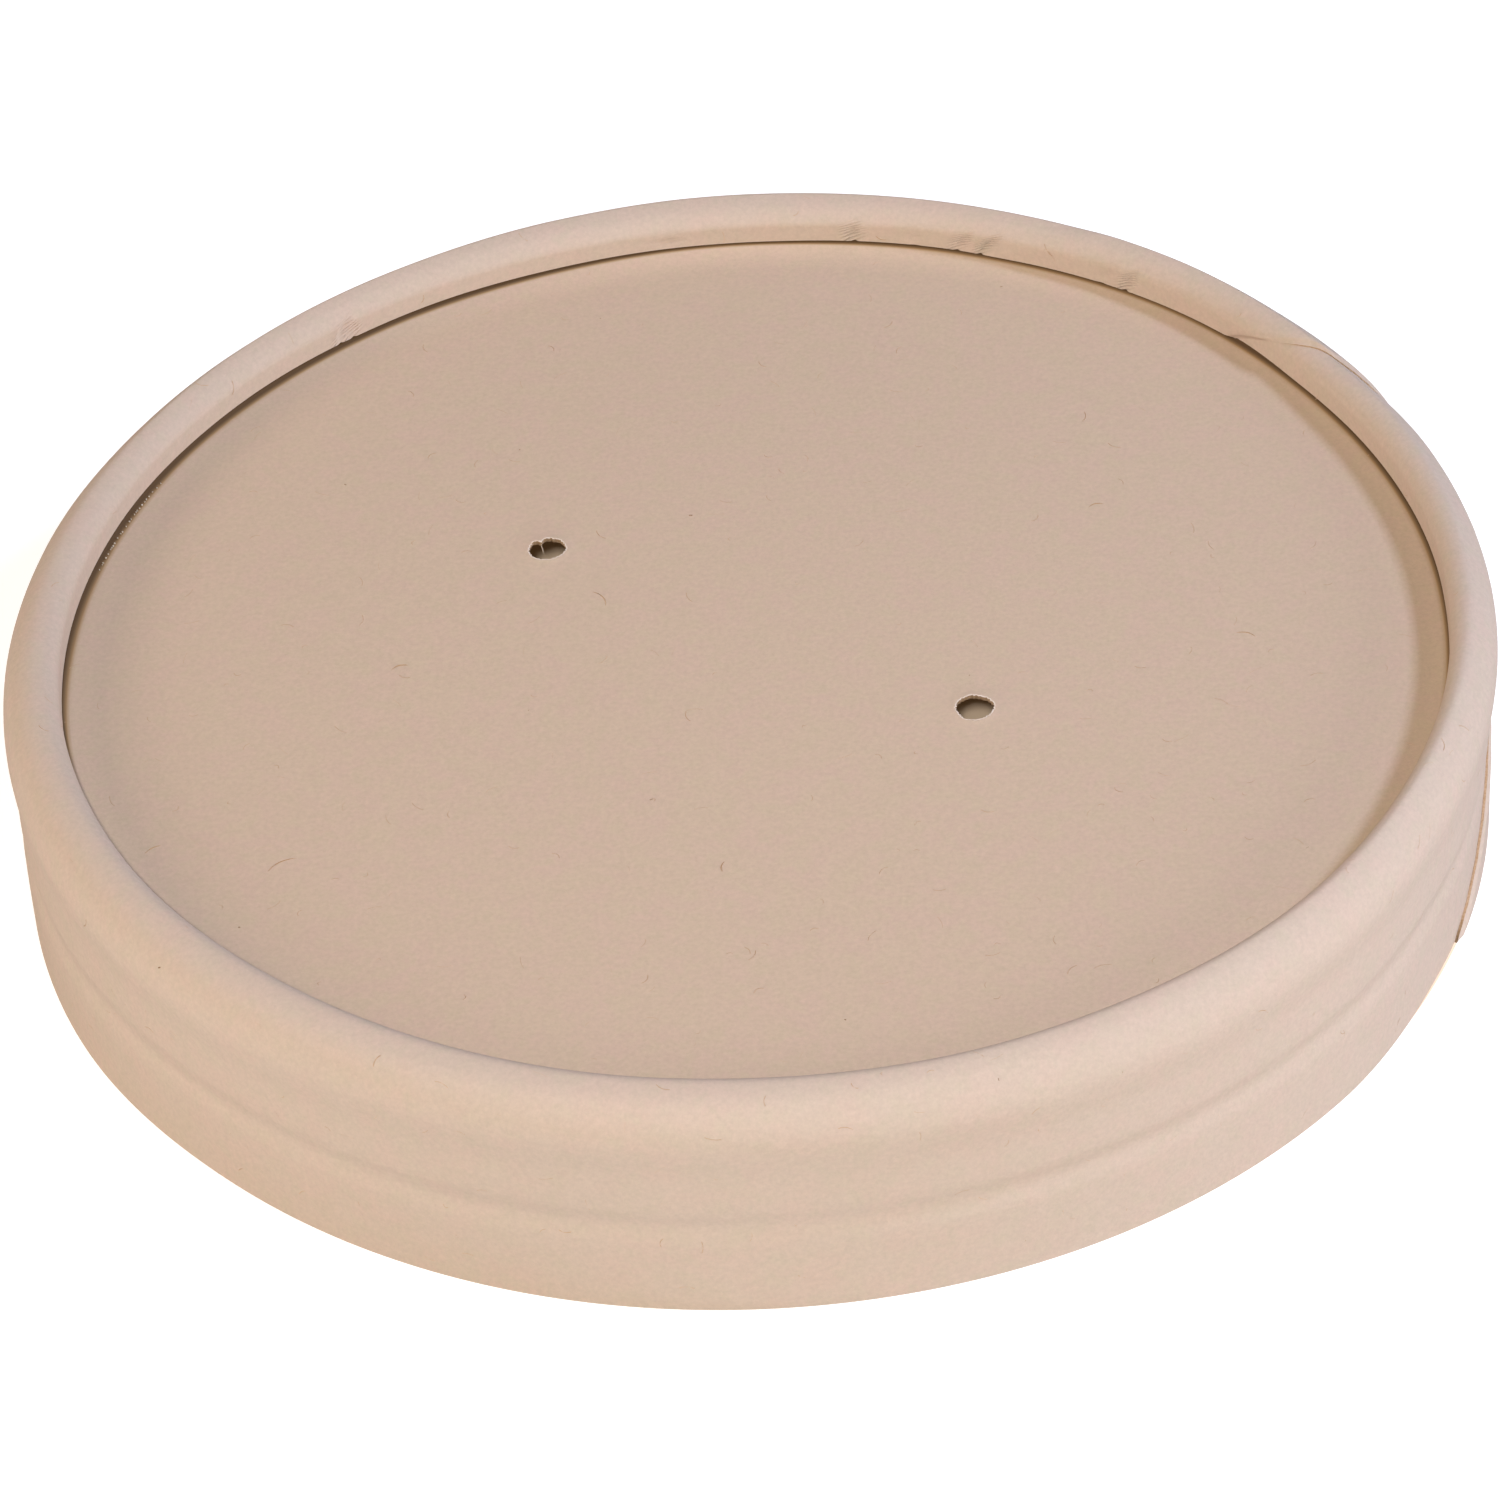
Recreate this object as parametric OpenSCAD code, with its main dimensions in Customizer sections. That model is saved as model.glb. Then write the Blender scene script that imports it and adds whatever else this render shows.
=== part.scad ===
// Paperboard lid for a soup cup: a recessed top disc with two steam vents, held in a side band
// whose top edge is rolled inwards. Millimetres. The origin is the centre of the skirt's cut edge.

/* [Board] */
// Thickness of the paperboard
board_t = 0.5; // [0.35:0.05:0.7]
// Thickness of the sealed plastic film between disc and band
film_t = 0.1; // [0.05:0.05:0.2]

/* [Side band] */
// Outside diameter over the rolled rim, lap left out
lid_d = 115; // [95:1:130]
// Height from the skirt's cut edge to the top of the rim, lap left out
lid_h = 19.2; // [17:0.1:24]
// How far the rim stands out past the skirt
rim_proud = 0.3; // [0.1:0.05:0.6]
// Length of skirt over which the rim swells out
swell_h = 3; // [2:0.5:4]

/* [Rolled rim] */
// Reach of the rim's outer shoulder, from its crest outwards
shoulder_w = 2.3; // [1.8:0.1:3]
// Drop of the rim's outer shoulder, from its crest down
shoulder_h = 3.7; // [3:0.1:4.5]
// Radius of the rim's inner shoulder
inner_shoulder_r = 2.4; // [1.8:0.1:2.8]
// Height of the rim's free edge over the top disc
edge_gap = 0.9; // [0.85:0.05:1.2]

/* [Snap groove] */
// Height of the middle of the groove
groove_z = 7.9; // [6:0.1:8.5]
// Height of the groove from end to end
groove_h = 3.6; // [2.5:0.1:5]
// Depth that the groove is pressed in
groove_depth = 0.25; // [0.1:0.05:0.4]

/* [Top disc] */
// Depth of the disc's top face under the rim's crest
recess = 4.1; // [3.8:0.1:5]
// Inside radius of the fold between disc and flange
fold_r = 1.2; // [0.8:0.1:1.3]
// Height of the flange over the disc's top face
flange_h = 1.8; // [1.5:0.1:2]

/* [Steam vents] */
// Diameter of each vent
vent_d = 3; // [2:0.1:5]
// Distance between the two vents
vent_pitch = 40; // [25:1:60]
// Turn of the line through the vents, from +X
vent_turn = -36; // [-90:1:90]
// Offset of the vents' midpoint along +X, as punched
vent_off_x = 0.65; // [-2:0.05:2]
// Offset of the vents' midpoint along +Y, as punched
vent_off_y = 2.1; // [-2.5:0.1:2.5]

/* [Lap seam] */
// Azimuth of the outer end's cut edge at the skirt's foot
seam_foot = -25.5; // [-40:0.5:0]
// Azimuth of the same cut edge at the rim's outer shoulder
seam_shoulder = 21; // [10:0.5:22]
// Azimuth of the same cut edge at the rim's inside
seam_inner = 40; // [36:0.5:45]
// Length of the overlap around the lid
lap_len = 24; // [16:1:26]
// How far the lap stands out of the band
lap_proud = 0.45; // [0.3:0.05:0.6]
// How much less the lap stands out where it is pressed over the rim
lap_ease = 0.05; // [0.05:0.05:0.15]

/* [Hidden] */
$fn = 128;
arc_steps = 10;
rim_r = lid_d / 2;
skirt_r = rim_r - rim_proud;
crest_r = rim_r - shoulder_w;
shoulder_z = lid_h - shoulder_h;
rim_in_r = crest_r - inner_shoulder_r;
disc_z = lid_h - recess;
edge_z = disc_z + edge_gap;
flange_r = rim_in_r + board_t + film_t;
lap_turn = lap_len / rim_r * 180 / PI;
// The lap is fused to the band this deep
lap_bite = board_t / 2;
// The rim part of the lap starts this far down the skirt part, so that the two are fused
lap_join = 0.4;
// Share of its own length by which the rim part of the lap is drawn past the rim
seam_over = 0.5;

// Points of an arc about (r, z) with half-axes a and b, from angle f to angle t
function arc(r, z, a, b, f, t) =
    [for (i = [0 : arc_steps]) let (w = f + (t - f) * i / arc_steps) [r + a * cos(w), z + b * sin(w)]];

// The skirt's outline at offset g from its outer face, from the cut edge up to the shoulder
function skirt(g) = concat(
    [[skirt_r + g, 0]],
    [for (i = [0 : 2 * arc_steps]) let (u = i / (2 * arc_steps))
        [skirt_r + g - groove_depth * (1 - cos(360 * u)) / 2, groove_z + groove_h * (u - 0.5)]],
    [for (i = [0 : arc_steps - 1]) let (u = i / arc_steps)
        [skirt_r + g + rim_proud * (1 - cos(180 * u)) / 2, shoulder_z - swell_h * (1 - u)]]
);

// The rolled rim's outline at the same offset, from the shoulder over the crest to the free edge
function rim(g) = concat(
    arc(crest_r, shoulder_z, shoulder_w + g, shoulder_h + g, 0, 90),
    [for (p = arc(crest_r, lid_h - inner_shoulder_r, inner_shoulder_r + g, inner_shoulder_r + g, 90, 180))
        if (p[0] < crest_r) p],
    [[rim_in_r - g, edge_z]]
);

function reversed(list) = [for (i = [len(list) - 1 : -1 : 0]) list[i]];

function on_circle(r, a) = [r * cos(a), r * sin(a)];

// A point past the outer end of the line from inside point p to outside point q
function past(p, q) = q + seam_over * (q - p);

// Skirt part of the lap: a parallelogram seen along X
module skirt_lap() {
    intersection() {
        rotate_extrude() polygon(concat(
            skirt(lap_proud), [[rim_r + lap_proud, shoulder_z], [rim_r - lap_bite, shoulder_z]],
            reversed(skirt(-lap_bite))));
        rotate([90, 0, 90]) linear_extrude(height = lid_d) polygon([
            [rim_r * sin(seam_foot), 0],
            [rim_r * sin(seam_foot + lap_turn), 0],
            [rim_r * sin(seam_shoulder + lap_turn), shoulder_z],
            [rim_r * sin(seam_shoulder), shoulder_z]]);
    }
}

// Rim part of the lap: a four-sided piece seen from above
module rim_lap() {
    proud = lap_proud - lap_ease;
    low_z = shoulder_z - lap_join;
    near_in = on_circle(rim_in_r - 2 * board_t, seam_inner);
    near_out = on_circle(rim_r, seam_shoulder);
    far_in = on_circle(rim_in_r - 2 * board_t, seam_inner + lap_turn);
    far_out = on_circle(rim_r, seam_shoulder + lap_turn);
    intersection() {
        rotate_extrude() polygon(concat(
            [[rim_r + proud, low_z]], rim(proud), reversed(rim(-lap_bite)), [[rim_r - lap_bite, low_z]]));
        linear_extrude(height = lid_h + 2 * board_t) polygon([
            near_in, past(near_in, near_out), past(far_in, far_out), far_in]);
    }
}

// Board strip bent to a ring: skirt with a snap groove, top edge rolled inwards, slanted lap seam
module side_band() {
    color("wheat") {
        rotate_extrude() polygon(concat(
            skirt(0), rim(0), reversed(concat(skirt(-board_t), rim(-board_t)))));
        skirt_lap();
        rim_lap();
    }
}

// Flat disc with its edge folded up to a flange inside the rolled rim, and two punched vents
module top_disc() {
    fold_start = flange_r - fold_r;
    color("tan") difference() {
        rotate_extrude() polygon(concat(
            [[0, disc_z]],
            arc(fold_start, disc_z + fold_r, fold_r, fold_r, -90, 0),
            [[flange_r, disc_z + flange_h], [flange_r + board_t, disc_z + flange_h]],
            arc(fold_start, disc_z + fold_r, fold_r + board_t, fold_r + board_t, 0, -90),
            [[0, disc_z - board_t]]));
        translate([vent_off_x, vent_off_y, disc_z - 2 * board_t]) rotate([0, 0, vent_turn])
            for (side = [-1, 1])
                translate([side * vent_pitch / 2, 0, 0]) cylinder(d = vent_d, h = 3 * board_t);
    }
}

top_disc();
side_band();
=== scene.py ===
import math
import random

import bpy
import numpy as np
from mathutils import Matrix, Vector
from mathutils.geometry import delaunay_2d_cdt

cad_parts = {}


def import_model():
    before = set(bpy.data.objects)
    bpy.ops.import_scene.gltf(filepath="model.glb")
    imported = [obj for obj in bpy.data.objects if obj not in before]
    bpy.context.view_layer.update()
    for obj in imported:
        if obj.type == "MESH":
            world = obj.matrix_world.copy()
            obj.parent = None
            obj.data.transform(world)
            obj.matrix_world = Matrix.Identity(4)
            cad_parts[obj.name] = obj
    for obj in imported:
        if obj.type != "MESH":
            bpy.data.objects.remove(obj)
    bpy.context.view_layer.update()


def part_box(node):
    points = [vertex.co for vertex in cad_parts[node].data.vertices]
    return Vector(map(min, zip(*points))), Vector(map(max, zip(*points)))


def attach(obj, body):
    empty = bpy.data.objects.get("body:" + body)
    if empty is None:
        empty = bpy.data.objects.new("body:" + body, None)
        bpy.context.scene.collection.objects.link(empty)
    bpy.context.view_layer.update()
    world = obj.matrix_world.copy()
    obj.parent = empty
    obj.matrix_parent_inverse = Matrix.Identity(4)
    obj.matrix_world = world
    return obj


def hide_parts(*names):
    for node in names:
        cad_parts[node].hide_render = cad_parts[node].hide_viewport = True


# A kraft paperboard lid for a soup cup. Metres, +Z up, the camera looks along +Y.
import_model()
MM = 0.001

# Sizes that the frame gives
BAND_LOW, BAND_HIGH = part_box("side_band")
DISC_LOW, DISC_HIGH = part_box("top_disc")
RIM_R = -BAND_LOW.x
LAP_ON_RIM = 0.4 * MM
LID_H = BAND_HIGH.z - LAP_ON_RIM
BOARD_T = 0.5 * MM
DISC_Z = DISC_LOW.z + BOARD_T
FLANGE_TOP = DISC_HIGH.z
FLANGE_OUT_R = DISC_HIGH.x

# Section of the side band: skirt and groove as on the solid, rim as it was pressed flat on top
RIM_PROUD = 0.3 * MM
SWELL_H = 3 * MM
SHOULDER_W = 3.2 * MM
SHOULDER_H = 3.7 * MM
INNER_SHOULDER_R = 1.3 * MM
RIM_W = 4.7 * MM
GROOVE_Z = 7.9 * MM
GROOVE_H = 3.6 * MM
GROOVE_DEPTH = 0.26 * MM
SKIRT_R = RIM_R - RIM_PROUD
CREST_R = RIM_R - SHOULDER_W
SHOULDER_Z = LID_H - SHOULDER_H
RIM_IN_R = RIM_R - RIM_W

# Board of the band, thinner where it is pressed round the rim
STRIP_T = 0.44 * MM
STRIP_T_RIM = 0.38 * MM
GLUE_T = 0.01 * MM

# Slanted cut end of the strip: azimuths in degrees at the foot, the shoulder and the free edge
SEAM_FOOT = -24
SEAM_SHOULDER = 21
SEAM_INNER = 40
LAP_TURN = math.degrees(24 * MM / RIM_R)
LAP_RAMP = 5

# Over the rim this share of the lap's step stands out. The rest is pressed into the layer below, which
# sinks over its last degrees.
LAP_STANDS = 0.3
LAP_SINK = 9

# The cut end is pressed thin: share of the thickness that is lost, and over how many degrees
END_PINCH = 0.55
PINCH_TURN = 1.2

# Tables of a size in mm around the lid, each at a few azimuths in degrees from +X and eased between them:
# height of the free edge over the disc, and rise of the disc's margin just inside that edge
EDGE_GAP = {0: 0.9, 30: 0.85, 60: 0.8, 90: 0.85, 115: 0.9, 140: 0.95, 165: 1.0, 200: 1.0, 300: 0.9}
MARGIN_RISE = {0: 0.3, 30: 0.45, 60: 0.5, 90: 0.5, 115: 0.4, 140: 0.22, 165: 0.12, 200: 0.15, 300: 0.3}
EDGE_LOWEST = 0.7 * MM

# How far the pressed ring is out of round: inner edge, crest, outer shoulder and foot, outwards
INNER_SHIFT = {0: 0.65, 26: 0.45, 49: 0.85, 68: 0.55, 86: 0.2, 108: 0, 146: 0.25, 180: 0.15, 208: 0.05,
               230: -0.25, 262: 0, 290: 0.5, 318: 1.05, 340: 0.95}
CREST_SHIFT = {0: 0, 60: 0.4, 90: 0.5, 120: 0.4, 180: 0, 250: -0.3, 290: -0.2}
OUTER_SHIFT = {0: -0.25, 36: -0.25, 48: 0, 92: 0, 104: -0.2, 120: -0.5, 146: -0.4, 164: -0.1, 180: 0, 316: 0,
               332: -0.3}
FOOT_SHIFT = {0: -0.6, 20: -0.45, 36: -0.25, 48: 0, 92: 0, 120: -0.4, 146: -0.3, 164: 0, 180: 0.15, 205: 0.35,
              225: 0, 316: -0.05, 333: -0.6, 350: -0.7}

# How far the rim's inner half lies below its crest, in mm: at the back it slopes down to the disc
INNER_DROP = {0: 0.25, 45: 0.6, 90: 0.85, 135: 0.65, 180: 0.25, 205: 0, 335: 0}

# The outer faces stay this far inside the ring's size, where loose fibres stand
FIBRE_ROOM = 0.03 * MM

# Small creases where the board was gathered into the roll: azimuth in degrees, depth and width in mm,
# and slant in degrees over 3 mm
CREASES = [(52.2, 0.6, 0.42, -0.8), (54.6, 0.2, 0.8, -1.2), (66.4, 0.58, 0.42, -1.5), (68.6, 0.36, 0.45, -1),
           (72.5, 0.14, 0.8, 0.6), (78.0, 0.55, 0.4, 0.4), (94.5, 0.18, 0.6, 0.5), (125.6, 0.55, 0.4, 1),
           (127.0, 0.42, 0.42, -0.6)]
SHARP_CREASE = 0.25

# Distances from the free edge in mm over which a crease deepens and then fades
CREASE_DEEPENS = (-0.6, 0.8)
CREASE_FADES = (1.0, 3.2)

# Spacing in degrees of the strip's columns: plain board, lap and sharp creases, with a crease's reach
COLUMN = 1.0
LAP_COLUMN = 0.4
CREASE_COLUMN = 0.15
CREASE_REACH = (1.2, 6)

# The disc's margin starts to rise at one radius and folds up to the flange at another
DISC_T = 0.35 * MM
MARGIN_R = 49.7 * MM
FOLD_R = 52.5 * MM

# Painted shade: the disc's margin is painted tan and then dark brown where it lies in shade in the gap under the
# rim's free edge. Where this painted shade starts, as a radius in mm at some azimuths, and where it is full
GAP_SHADE_START = {0: 52.3, 25: 52.35, 50: 52.45, 90: 52.6, 120: 52.5, 145: 52.35, 160: 52.2, 175: 52.1,
               195: 52.3, 215: 52.7, 300: 52.5}
GAP_SHADE_FULL_R = 52.95 * MM

# Vents as they were punched: centre, and radius at the ragged edge
VENT_R = 1.5 * MM
VENT_LEFT = Vector((-15.4, 13.8)) * MM
VENT_RIGHT = Vector((16.7, -9.6)) * MM
VENT_STEPS = 160
LIP_W = 0.3 * MM
LIP_RISE = 0.06 * MM
VENT_FLARE = 0.09 * MM


def linear(code):
    """An sRGB hex code as linear red, green, blue and alpha."""
    parts = [int(code[i:i + 2], 16) / 255 for i in (1, 3, 5)]
    return [c / 12.92 if c <= 0.04045 else ((c + 0.055) / 1.055) ** 2.4 for c in parts] + [1]


def add(tree, kind, values=None, **settings):
    """Adds a node, sets its properties, and fills or links its inputs."""
    node = tree.nodes.new(kind)
    for name, value in settings.items():
        setattr(node, name, value)
    for socket, value in (values or {}).items():
        if isinstance(value, bpy.types.NodeSocket):
            tree.links.new(value, node.inputs[socket])
        else:
            node.inputs[socket].default_value = value
    return node


def per_mm(size):
    """Noise scale that gives features of this size in millimetres."""
    return 1 / (size * MM)


def new_object(name, mesh):
    piece = bpy.data.objects.new(name, mesh)
    bpy.context.scene.collection.objects.link(piece)
    return piece


def baked(piece, name):
    """The evaluated object as a plain mesh object, in the old one's place."""
    graph = bpy.context.evaluated_depsgraph_get()
    mesh = bpy.data.meshes.new_from_object(piece.evaluated_get(graph))
    bpy.data.objects.remove(piece)
    mesh.name = name
    return new_object(name, mesh)


# Materials

def start_material(name):
    material = bpy.data.materials.new(name)
    material.use_nodes = True
    tree = material.node_tree
    shader = tree.nodes["Principled BSDF"]
    place = add(tree, "ShaderNodeTexCoord").outputs["Object"]
    return material, tree, shader, place


def mixed(tree, factor, first, second, blend="MIX"):
    """Output of a colour mix node."""
    return add(tree, "ShaderNodeMix", {0: factor, 6: first, 7: second}, data_type="RGBA",
               blend_type=blend).outputs[2]


def noise(tree, place, size, detail=2, rough=0.5):
    """Output of a noise with features of this size in millimetres."""
    return add(tree, "ShaderNodeTexNoise",
               {"Vector": place, "Scale": per_mm(size), "Detail": detail, "Roughness": rough}).outputs["Fac"]


def ramp(tree, value, low, high, to_low=0, to_high=1):
    """A value mapped from low..high to to_low..to_high, clamped."""
    return add(tree, "ShaderNodeMapRange", {"Value": value, "From Min": low, "From Max": high,
                                            "To Min": to_low, "To Max": to_high}).outputs["Result"]


def kraft_board(name, shade, pink, green, contrast, gap_shade=None):
    """Uncoated calendered kraft board: matte, with pinkish and greenish clouds and a felt-like tooth."""
    material, tree, shader, place = start_material(name)
    cloud = noise(tree, place, 3.6, 3, 0.6)
    haze = noise(tree, place, 1.7, 3, 0.65)
    colour = mixed(tree, ramp(tree, cloud, 0.4, 0.62, 0, contrast), linear(shade), linear(pink))
    colour = mixed(tree, ramp(tree, haze, 0.46, 0.66, 0, contrast), colour, linear(green))
    grain = noise(tree, place, 0.4, 3, 0.75)
    colour = mixed(tree, 1, colour, ramp(tree, grain, 0.3, 0.7, 0.94, 1.06), "MULTIPLY")
    # Painted shade: tan, then dark brown, where the disc's margin lies in the shaded gap under the rim's free
    # edge
    if gap_shade:
        gap_shade_share = add(tree, "ShaderNodeAttribute", attribute_name="painted_gap_shade").outputs["Fac"]
        colour = mixed(tree, ramp(tree, gap_shade_share, 0, 0.5), colour, linear(gap_shade[0]))
        colour = mixed(tree, ramp(tree, gap_shade_share, 0.4, 1), colour, linear(gap_shade[1]))
    tree.links.new(colour, shader.inputs["Base Color"])
    fine = noise(tree, place, 0.2, 3, 0.7)
    coarse = noise(tree, place, 1.1, 2, 0.5)
    height = add(tree, "ShaderNodeMath", {0: coarse, 1: 1.2, 2: fine}, operation="MULTIPLY_ADD").outputs[0]
    bump = add(tree, "ShaderNodeBump", {"Strength": 0.6, "Distance": 0.03 * MM, "Height": height})
    tree.links.new(bump.outputs[0], shader.inputs["Normal"])
    shader.inputs["Roughness"].default_value = 0.88
    shader.inputs["Specular IOR Level"].default_value = 0.25
    return material


def film_coated_board(name, shade, dark):
    """Inside of the board under a thin sealed film: the same fibre, darker and wet-looking."""
    material, tree, shader, place = start_material(name)
    cloud = noise(tree, place, 5, 3, 0.55)
    colour = mixed(tree, ramp(tree, cloud, 0.4, 0.65), linear(shade), linear(dark))
    tree.links.new(colour, shader.inputs["Base Color"])
    ripple = noise(tree, place, 0.5, 2, 0.6)
    bump = add(tree, "ShaderNodeBump", {"Strength": 0.5, "Distance": 0.04 * MM, "Height": ripple})
    tree.links.new(bump.outputs[0], shader.inputs["Normal"])
    shader.inputs["Roughness"].default_value = 0.32
    shader.inputs["Specular IOR Level"].default_value = 0.5
    return material


def cut_board(name, shade, dark):
    """Raw cut edge of the board: orange-tan core with loose fibre ends."""
    material, tree, shader, place = start_material(name)
    strand = noise(tree, place, 0.18, 3, 0.7)
    colour = mixed(tree, ramp(tree, strand, 0.4, 0.65), linear(shade), linear(dark))
    tree.links.new(colour, shader.inputs["Base Color"])
    bump = add(tree, "ShaderNodeBump", {"Strength": 0.6, "Distance": 0.05 * MM, "Height": strand})
    tree.links.new(bump.outputs[0], shader.inputs["Normal"])
    shader.inputs["Roughness"].default_value = 0.95
    shader.inputs["Specular IOR Level"].default_value = 0.15
    return material


def pulp_fibre(name, shade, dark):
    """Single fibres of the pulp: thin, matte, a little darker than the sheet."""
    material, tree, shader, place = start_material(name)
    patch = noise(tree, place, 8, 1, 0.5)
    colour = mixed(tree, ramp(tree, patch, 0.4, 0.6), linear(shade), linear(dark))
    tree.links.new(colour, shader.inputs["Base Color"])
    shader.inputs["Roughness"].default_value = 0.8
    return material


def sealed_film(name, shade):
    """Polyethylene film squeezed out of the heat seal: wet and wrinkled, with sharp glints."""
    material, tree, shader, place = start_material(name)
    wrinkle = noise(tree, place, 0.25, 2, 0.7)
    bump = add(tree, "ShaderNodeBump", {"Strength": 1.0, "Distance": 0.08 * MM, "Height": wrinkle})
    tree.links.new(bump.outputs[0], shader.inputs["Normal"])
    shader.inputs["Base Color"].default_value = linear(shade)
    shader.inputs["Roughness"].default_value = 0.12
    shader.inputs["IOR"].default_value = 1.51
    return material


# The disc board's last two colours are painted shade for the gap under the rim's free edge
DISC_FACE = kraft_board("kraft_board_disc", "#CBB39C", "#CDB19E", "#C9B49A", 0.7, ("#A98862", "#5A442F"))
BAND_FACE = kraft_board("kraft_board_band", "#C7B3A3", "#CAB2A3", "#C4B3A0", 0.7)
FILM_FACE = film_coated_board("film_coated_kraft_inside", "#A98F73", "#8F7355")
CUT_EDGE = cut_board("raw_cut_kraft_edge", "#C2A488", "#AC8B6A")
# Pale lip round the vents: partly the torn fibre's own colour, partly a painted highlight where the raised lip
# catches the light
TORN_LIP_PAINTED_HIGHLIGHT = cut_board("torn_fibre_lip_painted_highlight", "#EBDDD0", "#DCC6B2")
# Glossy squeezed-out film, painted pale so that its beads read as glints: a painted glint over the film's real
# gloss
SEAL_FILM_PAINTED_GLINT = sealed_film("squeezed_seal_film_painted_glint", "#CDBFAF")
FIBRE = pulp_fibre("kraft_pulp_fibre", "#C8A88C", "#C19F82")
STRAY_FIBRE = pulp_fibre("stray_kraft_fibre", "#BC9875", "#B08A66")
PALE_FIBRE = pulp_fibre("bleached_pulp_fibre", "#CFBCA8", "#C2AB94")
SPECK = pulp_fibre("bark_speck", "#A98A6C", "#8F7052")


# Section of the band

def arc(r, z, a, b, start, end, steps):
    """Points of an arc about (r, z) with half-axes a and b, angles in degrees."""
    angles = np.radians(np.linspace(start, end, steps))
    return [(r + a * math.cos(w), z + b * math.sin(w)) for w in angles]


def groove_bite(z):
    """How deep the snap groove is at height z."""
    u = (z - GROOVE_Z) / GROOVE_H
    return GROOVE_DEPTH * (1 + math.cos(2 * math.pi * u)) / 2 if abs(u) < 0.5 else 0


def section_points():
    """Outer face of the band from the foot over the rim to the lowest free edge, as (r, z)."""
    points = []
    for z in np.linspace(0, SHOULDER_Z, 80, endpoint=False):
        swell = max(0, (z - SHOULDER_Z + SWELL_H) / SWELL_H)
        points.append((SKIRT_R - groove_bite(z) + RIM_PROUD * (1 - math.cos(math.pi * swell)) / 2, z))
    points += arc(CREST_R, SHOULDER_Z, SHOULDER_W, SHOULDER_H, 0, 90, 30)
    inner_r = RIM_IN_R + INNER_SHOULDER_R
    points += arc(inner_r, LID_H - INNER_SHOULDER_R, INNER_SHOULDER_R, INNER_SHOULDER_R, 90, 180, 20)
    points.append((RIM_IN_R, DISC_Z + EDGE_LOWEST))
    return points


SECTION = section_points()
SECTION_LEN = sum(math.dist(p, q) for p, q in zip(SECTION, SECTION[1:]))


def seam_azimuth(length):
    """Azimuth in degrees of the strip's slanted cut end at this length up the section."""
    return float(np.interp(length, [0, SHOULDER_Z, SECTION_LEN], [SEAM_FOOT, SEAM_SHOULDER, SEAM_INNER]))


def smooth_step(value, low, high):
    t = min(max((value - low) / (high - low), 0), 1)
    return t * t * (3 - 2 * t)


def around(table, azimuth):
    """Size in metres at an azimuth in degrees, eased between the azimuths of a table in mm."""
    spots = sorted(table)
    spots = [spots[-1] - 360] + spots + [spots[0] + 360]
    azimuth %= 360
    after = next(i for i, spot in enumerate(spots) if spot >= azimuth and i > 0)
    low, high = spots[after - 1], spots[after]
    share = smooth_step(azimuth, low, high)
    return MM * (table[low % 360] * (1 - share) + table[high % 360] * share)


def edge_gap(azimuth):
    """Height of the free edge over the disc at an azimuth in degrees, with a slight waver of the knife."""
    wave = 0.03 * math.sin(math.radians(7 * azimuth)) + 0.02 * math.sin(math.radians(19 * azimuth + 40))
    return around(EDGE_GAP, azimuth) + wave * MM


def settle_band(mesh):
    """Shifts each point of the band outwards or inwards, as the ring was pressed out of round."""
    for vertex in mesh.vertices:
        x, y, z = vertex.co
        r = math.hypot(x, y)
        azimuth = math.degrees(math.atan2(y, x))
        high = smooth_step(z, 2 * MM, SHOULDER_Z)
        outer = around(FOOT_SHIFT, azimuth) * (1 - high) + around(OUTER_SHIFT, azimuth) * high
        across = smooth_step(r, RIM_IN_R + STRIP_T_RIM, RIM_R - 1.2 * MM)
        shift = (outer - FIBRE_ROOM) * across + around(INNER_SHIFT, azimuth) * (1 - across)
        shift += around(CREST_SHIFT, azimuth) * math.sin(math.pi * across) ** 2
        inner = 1 - smooth_step(r, RIM_IN_R, CREST_R + 1.2 * MM)
        z -= around(INNER_DROP, azimuth) * inner * smooth_step(z, DISC_Z + 1.2 * MM, LID_H)
        vertex.co = (x * (1 + shift / r), y * (1 + shift / r), z)


def settle_disc(mesh):
    """Lets the disc's margin follow the inner edge of the pressed rim."""
    for vertex in mesh.vertices:
        x, y, z = vertex.co
        r = max(math.hypot(x, y), MM)
        shift = around(INNER_SHIFT, math.degrees(math.atan2(y, x))) * smooth_step(r, RIM_IN_R / 2, MARGIN_R)
        vertex.co = (x * (1 + shift / r), y * (1 + shift / r), z)


def crease_depth(azimuth, length):
    """How deep the gathering creases press the rim in at this place."""
    from_edge = (SECTION_LEN - length) / MM
    fade = smooth_step(from_edge, *CREASE_DEEPENS) * (1 - smooth_step(from_edge, *CREASE_FADES))
    depth = 0
    for middle, deep, wide, slant in CREASES:
        off = (azimuth - middle - slant * from_edge / 3) % 360
        off = min(off, 360 - off) * math.radians(1) * RIM_R / MM
        depth += deep * MM * math.exp(-(2 * off / wide) ** 2)
    return depth * fade


def strip_columns():
    """Turns in degrees from the strip's cut end, closer together at the creases and the lap."""
    turns = set(np.round(np.arange(0, 360 + LAP_TURN, COLUMN), 3))
    turns |= set(np.round(np.arange(0, PINCH_TURN, PINCH_TURN / 4), 3))
    turns |= set(np.round(np.arange(LAP_TURN - 1, LAP_TURN + LAP_RAMP + 1, LAP_COLUMN), 3))
    before, beyond = CREASE_REACH
    for middle, deep, *_ in CREASES:
        if deep > SHARP_CREASE:
            start = (middle - SEAM_INNER) % 360
            turns |= set(np.round(np.arange(max(start - before, 0), start + beyond, CREASE_COLUMN), 3))
    turns.add(360 + LAP_TURN)
    return sorted(turns)


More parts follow.
